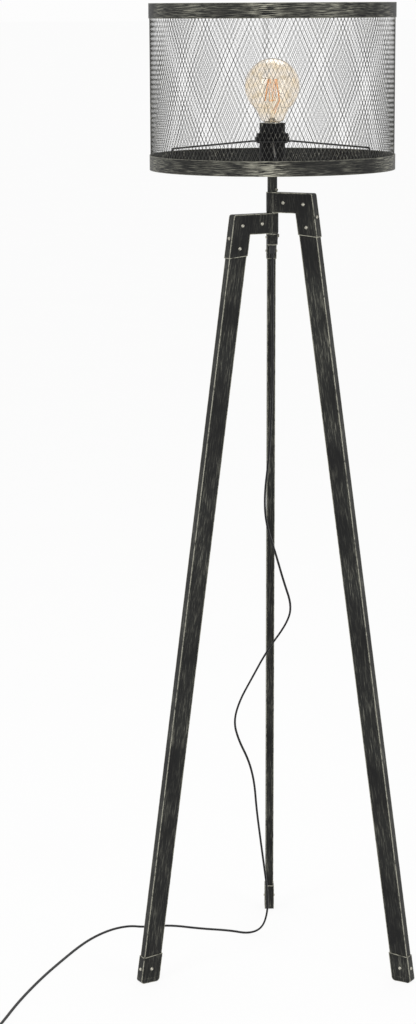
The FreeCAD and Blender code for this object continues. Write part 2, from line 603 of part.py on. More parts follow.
def make_shoe(top_z):
    shell = plate([(leg_inner(top_z, 0) - SKIN, 0), (leg_outer(top_z, 0) + SKIN, 0),
                   (leg_outer(top_z, SHOE_OUTER_TOP) + SKIN, SHOE_OUTER_TOP),
                   (leg_inner(top_z, SHOE_INNER_TOP) - SKIN, SHOE_INNER_TOP)], BRACKET_THICK)
    shell = round_corner(shell, leg_inner(top_z, 0) - SKIN, 0, SHOE_INNER_ROUND)
    shell = round_corner(shell, leg_outer(top_z, 0) + SKIN, 0, SHOE_OUTER_ROUND)
    fit = SEAT_FIT / math.cos(TILT)
    room = plate(leg_outline(top_z, SHOE_FLOOR, SHOE_INNER_TOP + CUT_THROUGH, fit), LEG_THICK + 2 * SEAT_FIT)
    return shell.cut(room)


def make_leg(name):
    top_z, azimuth = BRACKET_TOPS[name], LEG_AZIMUTHS[name]
    screws = REAR_ARM_SCREWS if name == "rear" else ARM_SCREWS
    side_z = top_z - (REAR_SIDE_SCREW_DEPTH if name == "rear" else SIDE_SCREW_DEPTH)
    arm_screws = [(r, top_z - depth, True) for r, depth in screws]
    arm_side = (leg_outer(top_z, side_z) + SKIN, side_z, False)
    shoe_mid = (leg_inner(top_z, SHOE_SCREW_Z) + leg_outer(top_z, SHOE_SCREW_Z)) / 2
    shoe_screw = (shoe_mid, SHOE_SCREW_Z, True)
    shoe_side = (leg_outer(top_z, SHOE_SCREW_Z) + SKIN, SHOE_SCREW_Z, False)

    bracket = bored(make_bracket(name, top_z), arm_screws + [arm_side])
    leg = bored(make_leg_tube(top_z), arm_screws[1:] + [arm_side, shoe_screw, shoe_side])
    shoe = bored(make_shoe(top_z), [shoe_screw, shoe_side])
    if name == "rear":
        lock_z = top_z - LOCK_SCREW_DROP
        hole = bar(Vector(0, 0, lock_z), Vector(2 * SLEEVE_R, 0, lock_z), SHANK_R + SHANK_FIT)
        bracket = bracket.cut(turned(hole, -azimuth))
    save(name + "_bracket", turned(bracket, azimuth))
    save(name + "_leg", turned(leg, azimuth))
    save(name + "_shoe", turned(shoe, azimuth))
    rivets = [through_rivet(r, z, BRACKET_THICK) for r, z, _ in arm_screws]
    save(name + "_bracket_screws", *[turned(s, azimuth) for s in rivets + [side_screw(*arm_side[:2])]])
    shoe_set = [through_rivet(shoe_mid, SHOE_SCREW_Z, BRACKET_THICK), side_screw(*shoe_side[:2])]
    save(name + "_shoe_screws", *[turned(s, azimuth) for s in shoe_set])


def make_lock_screw():
    """Screw through the rear sleeve that clamps it to the stem, at the right-hand side."""
    z = BRACKET_TOPS["rear"] - LOCK_SCREW_DROP
    shank = bar(Vector(STEM_R, 0, z), Vector(REAR_SLEEVE_R, 0, z), SHANK_R)
    seat_x = math.sqrt(REAR_SLEEVE_R ** 2 - LOCK_SCREW_R ** 2)
    head = bar(Vector(seat_x, 0, z), Vector(REAR_SLEEVE_R + LOCK_SCREW_PROUD, 0, z), LOCK_SCREW_R)
    sleeve = rod(REAR_SLEEVE_R, z - SLEEVE_R, z + SLEEVE_R)
    save("lock_screw", shank.fuse(head.cut(sleeve)))


# ---- cord ---------------------------------------------------------------
def cord_path(points):
    """Straight runs joined by tangent arcs, each as large as its two runs allow."""
    points = [Vector(*p) for p in points]
    edges, radii, start = [], [], points[0]
    for before, corner, after in zip(points, points[1:], points[2:]):
        a, b = (corner - before), (after - corner)
        turn = a.getAngle(b)
        reach = 0.45 * min(a.Length, b.Length)
        radius = reach / math.tan(turn / 2)
        radii.append(radius)
        a.normalize()
        b.normalize()
        enter, leave = corner - a * reach, corner + b * reach
        inward = b - a
        inward.normalize()
        middle = corner + inward * (radius / math.cos(turn / 2) - radius)
        edges.append(Part.makeLine(start, enter))
        edges.append(Part.Arc(enter, middle, leave).toShape())
        start = leave
    edges.append(Part.makeLine(start, points[-1]))
    runs = [(q - p).Length for p, q in zip(points, points[1:])]
    print("runs %.0f to %.0f mm, radii %.0f to %.0f mm" % (min(runs), max(runs), min(radii), max(radii)))
    return Part.Wire(edges)


def sweep(path, start, heading):
    circle = Part.Wire(Part.makeCircle(CORD_R, start, heading))
    solid = path.makePipeShell([circle], True, False)
    expected = math.pi * CORD_R ** 2 * path.Length
    print("cord length %.0f mm, volume %.4f of section x length" % (path.Length, solid.Volume / expected))
    return solid


def biarc(p0, t0, p1, t1):
    """Two tangent arcs from p0 along t0 to p1 along t1."""
    v, t = p1 - p0, t0 + t1
    k = 2 * (1 - t0.dot(t1))
    vt = v.dot(t)
    d = (-vt + math.sqrt(vt * vt + k * v.dot(v))) / k
    middle = (p0 + p1 + (t0 - t1) * d) * 0.5
    return [one_arc(p0, t0, middle), one_arc(middle, None, p1, t1)]


def one_arc(start, tangent, end, end_tangent=None):
    """Arc through start and end with the tangent given at one of them."""
    if tangent is None:
        arc = one_arc(end, end_tangent * -1, start)
        return Part.Arc(arc.EndPoint, arc.value((arc.FirstParameter + arc.LastParameter) / 2), arc.StartPoint)
    chord = end - start
    half = chord.getAngle(tangent)
    side = tangent - chord * (tangent.dot(chord) / chord.dot(chord))
    side.normalize()
    bulge = chord.Length / 2 * math.tan(half / 2)
    return Part.Arc(start, (start + end) * 0.5 + side * bulge, end)


def coil_point(turn):
    """A point of the coil: in for half the turns, up a layer as it reverses, and out again."""
    half = COIL_TURNS / 2
    climb = min(max(turn - half + 0.25, 0.0), 0.5) * 2
    depth = min(turn, COIL_TURNS - turn)
    radius = COIL_OUTER_R - COIL_PITCH * min(depth, half - 0.25)
    angle = -2 * math.pi * turn
    lift = climb * climb * (3 - 2 * climb)
    return Vector(COIL_CENTRE.x + radius * math.cos(angle), COIL_CENTRE.y + radius * math.sin(angle),
                  FLOOR_Z + COIL_LAYER * lift)


def make_cord():
    """The free cord, its put-away coil, the switch on it and the plug."""
    run = cord_path(CORD_ROUTE)
    save("cord_run", sweep(run, Vector(*CORD_ROUTE[0]), Vector(0, 0, 1)))

    quarters = int(round(COIL_TURNS * 4))
    turns = [i / 4 for i in range(quarters + 1)]
    points = [coil_point(t) for t in turns]
    step = 0.01
    tangents = []
    for t in turns:
        along = coil_point(min(t + step, COIL_TURNS)) - coil_point(max(t - step, 0))
        along.normalize()
        tangents.append(along)
    tangents[0], tangents[-1] = Vector(0, -1, 0), Vector(0, 1, 0)
    inlet = points[0] + Vector(0, 2 * CORD_R - COIL_JOINT, 0)
    outlet = points[-1] + Vector(0, COIL_OUTLET, 0)
    edges = [Part.makeLine(inlet, points[0])]
    for i in range(quarters):
        edges += [arc.toShape() for arc in biarc(points[i], tangents[i], points[i + 1], tangents[i + 1])]
    edges.append(Part.makeLine(points[-1], outlet))
    path = Part.Wire(edges)
    save("cord_coil", sweep(path, inlet, Vector(0, -1, 0)))
    report_gap(path)
    print("whole cord %.0f mm" % (run.Length + path.Length + TAIL_LENGTH))
    return outlet


def report_gap(path):
    """Print the coil's least gap to itself, measured between points half a turn or more apart."""
    samples = path.discretize(600)
    apart = int(600 * 0.5 / COIL_TURNS)
    least = min((a - b).Length for i, a in enumerate(samples) for b in samples[i + apart:])
    print("least gap of the coil to itself %.2f mm" % (least - 2 * CORD_R))


def make_switch(outlet):
    """In-line press switch: a box with a square opening, and its sprung button."""
    x, y0 = outlet.x, outlet.y
    middle_y = y0 + SWITCH_LENGTH / 2

    def block(width, length, z_low, z_high):
        corner = Vector(x - width / 2, middle_y - length / 2, z_low)
        return Part.makeBox(width, length, z_high - z_low, corner)

    case = block(SWITCH_WIDTH, SWITCH_LENGTH, 0, SWITCH_HEIGHT)
    case = case.makeFillet(SWITCH_ROUND, [e for e in case.Edges if e.BoundBox.ZLength > SWITCH_HEIGHT / 2])
    rim = [e for e in case.Edges if e.BoundBox.ZMin > SWITCH_HEIGHT - 0.01]
    case = case.makeFillet(SWITCH_WALL, rim)
    room = block(SWITCH_WIDTH - 2 * SWITCH_WALL, SWITCH_LENGTH - 2 * SWITCH_END_WALL,
                 SWITCH_WALL, SWITCH_HEIGHT - SWITCH_WALL)
    hole = block(BUTTON_WIDTH + 2 * BUTTON_FIT, BUTTON_LENGTH + 2 * BUTTON_FIT,
                 SWITCH_HEIGHT / 2, 2 * SWITCH_HEIGHT)
    ports = bar(Vector(x, y0 - 1, outlet.z), Vector(x, y0 + SWITCH_LENGTH + 1, outlet.z), PORT_R)
    save("cord_switch_case", case.cut([room, hole, ports]))
    foot_z = SWITCH_HEIGHT - SWITCH_WALL - BUTTON_SKIRT
    button = block(BUTTON_WIDTH, BUTTON_LENGTH, foot_z, SWITCH_HEIGHT + BUTTON_PROUD)
    button = button.makeFillet(BUTTON_ROUND, [e for e in button.Edges if e.BoundBox.ZMin > SWITCH_HEIGHT])
    save("cord_switch_button", button)
    seat = block(BUTTON_WIDTH - SWITCH_WALL, BUTTON_LENGTH - SWITCH_WALL,
                 SWITCH_WALL, foot_z - BUTTON_TRAVEL - BUTTON_FIT)
    save("cord_switch_contacts", seat)


def make_tail_and_plug(outlet):
    tail_y = outlet.y + SWITCH_LENGTH
    plug_y = tail_y + TAIL_LENGTH
    save("cord_tail", bar(Vector(outlet.x, tail_y, outlet.z), Vector(outlet.x, plug_y, outlet.z), CORD_R))
    half, tail = PLUG_WIDTH / 2, PLUG_TAIL_WIDTH / 2
    outline = [(-tail, 0), (tail, 0), (half, PLUG_TAPER), (half, PLUG_LENGTH),
               (-half, PLUG_LENGTH), (-half, PLUG_TAPER)]
    corners = [Vector(outlet.x + dx, plug_y + dy, 0) for dx, dy in outline]
    body = Part.Face(Part.makePolygon(corners + corners[:1])).extrude(Vector(0, 0, PLUG_HEIGHT))
    long_edges = [e for e in body.Edges if e.BoundBox.ZLength < 0.01 and e.Length > PLUG_TAIL_WIDTH + 1]
    body = body.makeFillet(PLUG_ROUND, long_edges)
    save("plug_body", body)
    front_y = plug_y + PLUG_LENGTH
    pins = [bar(Vector(outlet.x + side * PIN_SPACING / 2, front_y, PLUG_HEIGHT / 2),
                Vector(outlet.x + side * PIN_SPACING / 2, front_y + PIN_LENGTH, PLUG_HEIGHT / 2), PIN_R)
            for side in (-1, 1)]
    save("plug_pins", *pins)


def main():
    os.makedirs(OUT_DIR, exist_ok=True)
    make_bands()
    make_mesh()
    make_carrier()
    insert_z, contact_z = make_lampholder()
    make_bulb(contact_z)
    make_stem(insert_z)
    for name in LEG_ORDER:
        make_leg(name)
    make_lock_screw()
    outlet = make_cord()
    make_switch(outlet)
    make_tail_and_plug(outlet)


main()
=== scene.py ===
# %% [markdown]
# # Tripod floor lamp with an expanded-metal drum shade
# The lamp's construction comes from a fixed frame: every piece is already at its real size and place.
# This lesson dresses that frame. It models what the frame leaves plain, which is the fine mesh of the
# shade and the rounded flex, and it gives every surface its finish.

# %% Load the frame
import math

import bpy
from mathutils import Matrix, Vector


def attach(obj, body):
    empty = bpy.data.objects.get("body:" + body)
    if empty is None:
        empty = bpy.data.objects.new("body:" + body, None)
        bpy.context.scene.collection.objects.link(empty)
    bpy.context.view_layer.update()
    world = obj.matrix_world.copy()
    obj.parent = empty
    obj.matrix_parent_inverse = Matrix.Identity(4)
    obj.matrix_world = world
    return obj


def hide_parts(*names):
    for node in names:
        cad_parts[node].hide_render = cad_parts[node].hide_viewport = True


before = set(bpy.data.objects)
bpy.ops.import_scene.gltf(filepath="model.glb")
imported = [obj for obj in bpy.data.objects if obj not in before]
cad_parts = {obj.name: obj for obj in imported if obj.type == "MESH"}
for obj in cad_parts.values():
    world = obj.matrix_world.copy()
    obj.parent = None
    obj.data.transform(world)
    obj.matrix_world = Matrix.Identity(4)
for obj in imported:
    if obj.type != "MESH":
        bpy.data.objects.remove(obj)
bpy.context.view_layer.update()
BODY = "stand_and_shade"
MM = 0.001

# %% [markdown]
# ## Colours and node helpers
# Colours are picked as the eye sees them, in sRGB hex, and a renderer adds light in linear values, so one
# function turns the first into the second. A second one adds a shader node with its settings and links in
# one call, so that a material reads as a list of its nodes. An input is named as Blender names its socket,
# or numbered where two sockets share a name.

# %% Colours and nodes
BLACK = (0, 0, 0, 1)
WHITE = (1, 1, 1, 1)


def linear(hex_code):
    """sRGB hex to linear RGBA."""
    channels = [int(hex_code[i:i + 2], 16) / 255 for i in (1, 3, 5)]
    return [c / 12.92 if c <= 0.04045 else ((c + 0.055) / 1.055) ** 2.4 for c in channels] + [1.0]


def grey(level):
    """Linear RGBA grey."""
    return (level, level, level, 1)


def add(tree, kind, settings=None, stops=(), **inputs):
    """Adds a node with its settings, its inputs and, on a colour ramp, its two stops.

    An input is a value, a node for that node's first output, or (node, output). In a socket's name an
    underscore stands for a space, and _0 is the first socket.
    """
    node = tree.nodes.new(kind)
    for key, value in (settings or {}).items():
        setattr(node, key, value)
    for i, (position, colour) in enumerate(stops):
        node.color_ramp.elements[i].position = position
        node.color_ramp.elements[i].color = colour
    for key, value in inputs.items():
        socket = node.inputs[int(key[1:])] if key[1:].isdigit() else node.inputs[key.replace("_", " ")]
        if hasattr(value, "outputs"):
            value = (value, 0)
        if isinstance(value, tuple) and hasattr(value[0], "outputs"):
            tree.links.new(value[0].outputs[value[1]], socket)
        else:
            socket.default_value = value
    return node


def new_material(name):
    """An empty material and its node tree."""
    material = bpy.data.materials.new(name)
    material.use_nodes = True
    material.node_tree.nodes.clear()
    return material, material.node_tree


print("lacquer black is", [round(c, 4) for c in linear("#0f0f0f")[:3]], "in linear light")

# %% [markdown]
# ## Camera
# The photograph was taken from about the height of the shade's top, far back, with a long lens. The values
# below were solved from the straight edges of the legs and the rims of the shade: a focal length in pixels
# becomes a lens in millimetres by the frame's long side, which holds the sensor's whole width.

# %% Camera
FOCAL_PX = 2577.0
FRAME_HEIGHT_PX = 1024
SENSOR_MM = 36.0
CAMERA_AT = (-0.1078, -4.2338, 1.6112)
PITCH_DOWN = 11.095
ROLL = -0.29

camera_data = bpy.data.cameras.new("photo_camera")
camera_data.sensor_width = SENSOR_MM
camera_data.lens = FOCAL_PX / FRAME_HEIGHT_PX * SENSOR_MM
camera = bpy.data.objects.new("photo_camera", camera_data)
bpy.context.collection.objects.link(camera)
camera.matrix_world = (Matrix.Translation(CAMERA_AT)
                       @ Matrix.Rotation(math.radians(90 - PITCH_DOWN), 4, "X")
                       @ Matrix.Rotation(math.radians(ROLL), 4, "Z"))
bpy.context.scene.camera = camera
print("lens", round(camera_data.lens, 1), "mm")

# %% [markdown]
# ## Objects from meshes
# A new piece is built from its corners and faces, placed in the frame's own coordinates, and then told
# which body it rides on, while the frame's nodes that it replaces are hidden.

# %% Piece helper
def mesh_from(name, verts, faces):
    """A mesh from its corners and from the corners of each face."""
    mesh = bpy.data.meshes.new(name)
    mesh.from_pydata(verts, [], faces)
    mesh.update()
    return mesh


def piece(name, mesh, material, body, replaced):
    """Makes a mesh a named piece of the lamp."""
    thing = bpy.data.objects.new(name, mesh)
    bpy.context.collection.objects.link(thing)
    mesh.materials.append(material)
    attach(thing, body)
    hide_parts(*replaced)
    return thing


# %% [markdown]
# ## The flex
# The lamp hangs its flex from the foot of the stem. It falls free beside the rear leg with the bends it kept
# from its box, turns on the floor and runs off to the lower left. The part that the photograph
# doesn't show is put away in a neat coil there, with its in-line switch and plug.
# One NURBS spline with listed control points gives the smooth curve of a springy cable. A coil is
# a loop of more points of the same spline, worked out from its radius and step.

# %% Flex route
FLEX_WIDTH = 5.0
FLEX_THICK = 3.2
FLOOR_GAP = 0.1
FLOOR_Z = FLEX_THICK / 2 + FLOOR_GAP        # middle of the flex where it lies flat on the floor
EXIT_Z = 1213.0
ROUTE = [
    (0.0, 0.0, EXIT_Z), (0.8, 0.2, 1167.0), (0.5, 2.5, 1112.0), (0.0, 8.0, 1052.0),
    (0.5, 14.0, 1000.0), (-1.0, 21.0, 946.0), (-4.5, 27.0, 873.0), (-13.0, 32.0, 803.0), (-10.0, 36.0, 752.0),
    (6.0, 40.0, 703.0), (20.0, 43.0, 652.0), (34.5, 46.0, 608.0), (26.0, 50.0, 576.0),
    (-8.0, 53.5, 528.0), (-34.0, 57.0, 478.0), (-55.0, 60.5, 438.0), (-65.5, 62.5, 400.0),
    (-57.0, 65.5, 366.0), (-39.0, 68.5, 328.0), (-29.5, 71.5, 288.0), (-26.0, 75.0, 240.0),
    (-19.5, 79.0, 186.0), (-12.0, 83.5, 127.0), (-6.0, 87.5, 78.0), (-6.5, 89.5, 42.0),
    (-16.0, 91.5, 13.0), (-40.0, 96.0, FLOOR_Z), (-72.0, 113.0, FLOOR_Z),
    (-126.0, 123.0, FLOOR_Z), (-180.0, 142.0, FLOOR_Z), (-226.0, 132.0, FLOOR_Z),
    (-250.0, 139.0, FLOOR_Z), (-277.0, 126.0, FLOOR_Z), (-301.0, 100.0, FLOOR_Z),
    (-322.0, 67.0, FLOOR_Z), (-341.0, 26.0, FLOOR_Z), (-362.0, -28.0, FLOOR_Z),
    (-386.0, -92.0, FLOOR_Z), (-408.0, -160.0, FLOOR_Z), (-427.0, -228.0, FLOOR_Z),
    (-441.0, -290.0, FLOOR_Z), (-454.0, -342.0, FLOOR_Z), (-454.0, -386.0, FLOOR_Z),
]
print("route of", len(ROUTE), "points")

# %% [markdown]
# ### Coil, switch and tail
# The coil is wound inwards on the floor, climbs to a second layer as it reverses, and comes out again over
# itself. Beyond it the flex runs straight through the press switch, where it dips under the button to its
# clamp, and ends at the plug.

# %% Coil and tail
COIL_TURNS = 3.5
COIL_OUTER_R = 32.5
COIL_PITCH = 6.5
COIL_LAYER = 4.0
COIL_CROSSOVER = 0.5                # turns in which the coil climbs to its second layer
COIL_OUTLET = 31.0                  # from the end of the coil to the switch
COIL_STEPS_PER_TURN = 16
LOW_RUN = 11.0                      # after the coil, before the flex rises to the switch
PORT_Z = 8.4                        # height of the switch's cord port
PORT_APPROACH = 6.0
PORT_DEPTH = 8.0
SWITCH_LENGTH = 58.0
SWITCH_DIP = 3.2                    # the flex dips to its clamp under the switch's button
CLAMP_INSET = 17.0
TAIL_LENGTH = 24.0
coil_x = ROUTE[-1][0] - COIL_OUTER_R
coil_y = ROUTE[-1][1] - FLEX_WIDTH


def coil_point(turn):
    """In for half the turns, up a layer as it reverses, and out again."""
    half = COIL_TURNS / 2
    climb = min(max(turn - half + COIL_CROSSOVER / 2, 0.0), COIL_CROSSOVER) / COIL_CROSSOVER
    radius = COIL_OUTER_R - COIL_PITCH * min(turn, COIL_TURNS - turn, half - COIL_CROSSOVER / 2)
    angle = -2 * math.pi * turn
    lift = COIL_LAYER * climb * climb * (3 - 2 * climb)
    return (coil_x + radius * math.cos(angle), coil_y + radius * math.sin(angle), FLOOR_Z + lift)


steps = int(COIL_TURNS * COIL_STEPS_PER_TURN)
points = ROUTE + [coil_point(COIL_TURNS * i / steps) for i in range(steps + 1)]
end_x, end_y, end_z = points[-1]
case_in = end_y + COIL_OUTLET
case_out = case_in + SWITCH_LENGTH
clamp_z = PORT_Z - SWITCH_DIP
points += [(end_x, y, z) for y, z in (
    (end_y + LOW_RUN, end_z), (case_in - PORT_APPROACH, PORT_Z), (case_in + PORT_DEPTH, PORT_Z),
    (case_in + CLAMP_INSET, clamp_z), (case_out - CLAMP_INSET, clamp_z), (case_out - PORT_DEPTH, PORT_Z),
    (case_out + TAIL_LENGTH / 2, PORT_Z), (case_out + TAIL_LENGTH, PORT_Z))]
print("flex of", len(points), "points")

# %% [markdown]
# ### One curve with a profile
# A curve object carries its own profile, so the whole flex is one smooth tube. A bevel depth alone gives a
# round one, and the extrude widens it between its round edges to the flat twin flex of a lamp. Each control
# point's radius scales the profile, which is written in millimetres here.

# %% Flex
SPLINE_ORDER = 3
SPLINE_STEPS = 6
PROFILE_STEPS = 3

flex_curve = bpy.data.curves.new("flex", "CURVE")
flex_curve.dimensions = "3D"
flex_spline = flex_curve.splines.new("NURBS")
flex_spline.points.add(len(points) - 1)
for control, (x, y, z) in zip(flex_spline.points, points):
    control.co = (x * MM, y * MM, z * MM, 1)
    control.radius = MM
flex_spline.order_u = SPLINE_ORDER
flex_spline.use_endpoint_u = True
flex_spline.resolution_u = SPLINE_STEPS
flex_curve.bevel_depth = FLEX_THICK / 2
flex_curve.extrude = (FLEX_WIDTH - FLEX_THICK) / 2
flex_curve.bevel_resolution = PROFILE_STEPS
flex_curve.use_fill_caps = True
flex = bpy.data.objects.new("flex", flex_curve)
bpy.context.collection.objects.link(flex)

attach(flex, BODY)
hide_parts("cord_run", "cord_coil", "cord_tail")

# %% [markdown]
# ### Flat on the floor
# A flat flex lies on its wide side. Where a curve's profile points depends on how it bends on its way, so
# the tilt that lays it flat is found by trying: the best one gives the lowest top on a straight stretch.

# %% Lay the flex flat
TILT_STEPS = 24
NEAR_FLOOR = 10 * MM
FLAT_STRETCH = (-250 * MM, -100 * MM)


def lay_flat(curve_object, curve, near, far):
    """Turns the profile about the path until it lies on its wide side between two y values."""
    best = (math.inf, 0.0)
    for step in range(TILT_STEPS):
        tilt = math.radians(180 / TILT_STEPS * step)
        for control in curve.splines[0].points:
            control.tilt = tilt
        bpy.context.view_layer.update()
        shaped = curve_object.evaluated_get(bpy.context.evaluated_depsgraph_get())
        mesh = shaped.to_mesh()
        top = max(v.co.z for v in mesh.vertices if near < v.co.y < far and v.co.z < NEAR_FLOOR)
        shaped.to_mesh_clear()
        best = min(best, (top, tilt))
    for control in curve.splines[0].points:
        control.tilt = best[1]
    return best[0]


flat_top = lay_flat(flex, flex_curve, *FLAT_STRETCH)
print("flex lies flat, top at", round(flat_top / MM, 2), "mm")

# %% [markdown]
# ## Brushed black paint
# The steel is lacquered black and then dry-brushed: a nearly empty brush with silver-champagne paint is
# drawn along each piece. It leaves fine streaks where the brush ran and catches on every edge.
# The streaks are noise stretched along the brush's direction, so each material first turns its coordinates
# until their Z runs along the piece. A band is brushed round the drum, so there Z is the arc length.
# A real bristle's streak is about 0.2 mm wide, too fine to show, so these are drawn about 1 mm wide.

# %% Coordinates for the brush
DRUM_RADIUS = 200 * MM


def along_axis(tree, azimuth, tilt):
    """Coordinates in metres whose Z runs along a straight piece."""
    place = add(tree, "ShaderNodeTexCoord")
    level = add(tree, "ShaderNodeVectorRotate", {"rotation_type": "Z_AXIS"},
                Vector=(place, "Object"), Angle=math.radians(-azimuth))
    return add(tree, "ShaderNodeVectorRotate", {"rotation_type": "Y_AXIS"},
               Vector=level, Angle=math.radians(tilt))


def round_the_drum(tree):
    """Coordinates whose Z runs round the lamp's axis, with the joint at the back."""
    place = add(tree, "ShaderNodeTexCoord")
    parts = add(tree, "ShaderNodeSeparateXYZ", Vector=(place, "Object"))
    behind = add(tree, "ShaderNodeMath", {"operation": "MULTIPLY"}, _0=(parts, "Y"), _1=-1.0)
    angle = add(tree, "ShaderNodeMath", {"operation": "ARCTAN2"}, _0=(parts, "X"), _1=behind)
    arc = add(tree, "ShaderNodeMath", {"operation": "MULTIPLY"}, _0=angle, _1=DRUM_RADIUS)
    return add(tree, "ShaderNodeCombineXYZ", X=(parts, "Z"), Y=0.0, Z=arc)


# %% [markdown]
# ### Worn edges
# A brush leaves most of its paint on edges. The Bevel node finds them: where its rounded normal leaves the
# true one there is an edge. A noise then breaks the line up, as worn paint is.

# %% Edge mask
EDGE_REACH = 2.4 * MM
EDGE_GAIN = 10.0
CHIP = 9 * MM
CHIP_LEAST = 0.1


def edge_mask(tree, reach, seed):
    """1 on edges, 0 on faces, broken up by a fine noise."""
    bevel = add(tree, "ShaderNodeBevel", {"samples": 8}, Radius=reach)
    flat = add(tree, "ShaderNodeNewGeometry")
    dot = add(tree, "ShaderNodeVectorMath", {"operation": "DOT_PRODUCT"}, _0=bevel, _1=(flat, "True Normal"))
    turned = add(tree, "ShaderNodeMath", {"operation": "SUBTRACT"}, _0=1.0, _1=(dot, "Value"))
    edge = add(tree, "ShaderNodeMath", {"operation": "MULTIPLY", "use_clamp": True}, _0=turned, _1=EDGE_GAIN)
    place = add(tree, "ShaderNodeTexCoord")
    chips = add(tree, "ShaderNodeTexNoise", {"noise_dimensions": "4D"}, Vector=(place, "Object"), W=seed,
                Scale=1 / CHIP, Detail=3.0, Roughness=0.6)
    broken = add(tree, "ShaderNodeValToRGB", stops=[(0.32, grey(CHIP_LEAST)), (0.52, WHITE)], Fac=chips)
    return add(tree, "ShaderNodeMath", {"operation": "MULTIPLY"}, _0=edge, _1=broken)


# %% [markdown]
# ### Where the silver is caught
# A spot is a place with more silver: the bands have theirs at the front. Inside the drum the bands stay
# black, as bare lacquer and as painted shade inside the drum, so there the amount follows how far a face
# looks away from the lamp's axis.

# %% Spot and outside
SPOT_AMOUNT = 1.3
OUTWARD_GAIN = 2.0


def with_spot(tree, amount, run, middle, half_width):
    """More paint round one place along the brush's way."""
    part = add(tree, "ShaderNodeSeparateXYZ", Vector=run)
    offset = add(tree, "ShaderNodeMath", {"operation": "SUBTRACT"}, _0=(part, "Z"), _1=middle)
    away = add(tree, "ShaderNodeMath", {"operation": "ABSOLUTE"}, _0=offset)
    near = add(tree, "ShaderNodeMapRange", {"interpolation_type": "SMOOTHSTEP"}, Value=away, _1=0.0,
               _2=half_width, _3=SPOT_AMOUNT, _4=0.0)
    return add(tree, "ShaderNodeMath", {"operation": "ADD"}, _0=amount, _1=near)


def outside_only(tree, amount):
    """No silver on faces that look at the lamp's axis: bare lacquer, and painted shade inside the drum."""
    place = add(tree, "ShaderNodeTexCoord")
    level = add(tree, "ShaderNodeVectorMath", {"operation": "MULTIPLY"}, _0=(place, "Object"), _1=(1, 1, 0))
    radial = add(tree, "ShaderNodeVectorMath", {"operation": "NORMALIZE"}, _0=level)
    surface = add(tree, "ShaderNodeNewGeometry")
    facing = add(tree, "ShaderNodeVectorMath", {"operation": "DOT_PRODUCT"}, _0=radial,
                 _1=(surface, "True Normal"))
    outward = add(tree, "ShaderNodeMath", {"operation": "MULTIPLY", "use_clamp": True},
                  _0=(facing, "Value"), _1=OUTWARD_GAIN)
    return add(tree, "ShaderNodeMath", {"operation": "MULTIPLY"}, _0=amount, _1=outward)


# %% [markdown]
# ### The paint
# Black lacquer lies under thin streaks of metallic paint. The lacquer is near black, a little browner
# where it is worn, and matt. The silver is half metallic, as paint with flakes in it is, and a streak
# stands up a little, which gives the light something to catch.

# %% Paint
LACQUER = "#0f0f0f"
LACQUER_WORN = "#242523"
SILVER = "#bfbdad"
MATT_SHEEN = 0.2                    # a brushed matt lacquer gives back less than a polished one
STREAK_WIDTH = 1.1 * MM
STREAK_LENGTH = 22 * MM
STREAK_STARTS = 0.53                # of the noise: below it the lacquer is bare
STREAK_FULL = 0.67
STREAK_SILVER = 0.55
STREAK_RISE = 0.15 * MM
PAINT_ROUGHNESS = 0.38
PAINT_ROUGHNESS_SWING = 0.25
PATCH = 70 * MM
PATCH_LEAST = 0.12
PATCH_SEED = 3.0
EDGE_SILVER = 0.95
FLAKES = 0.6


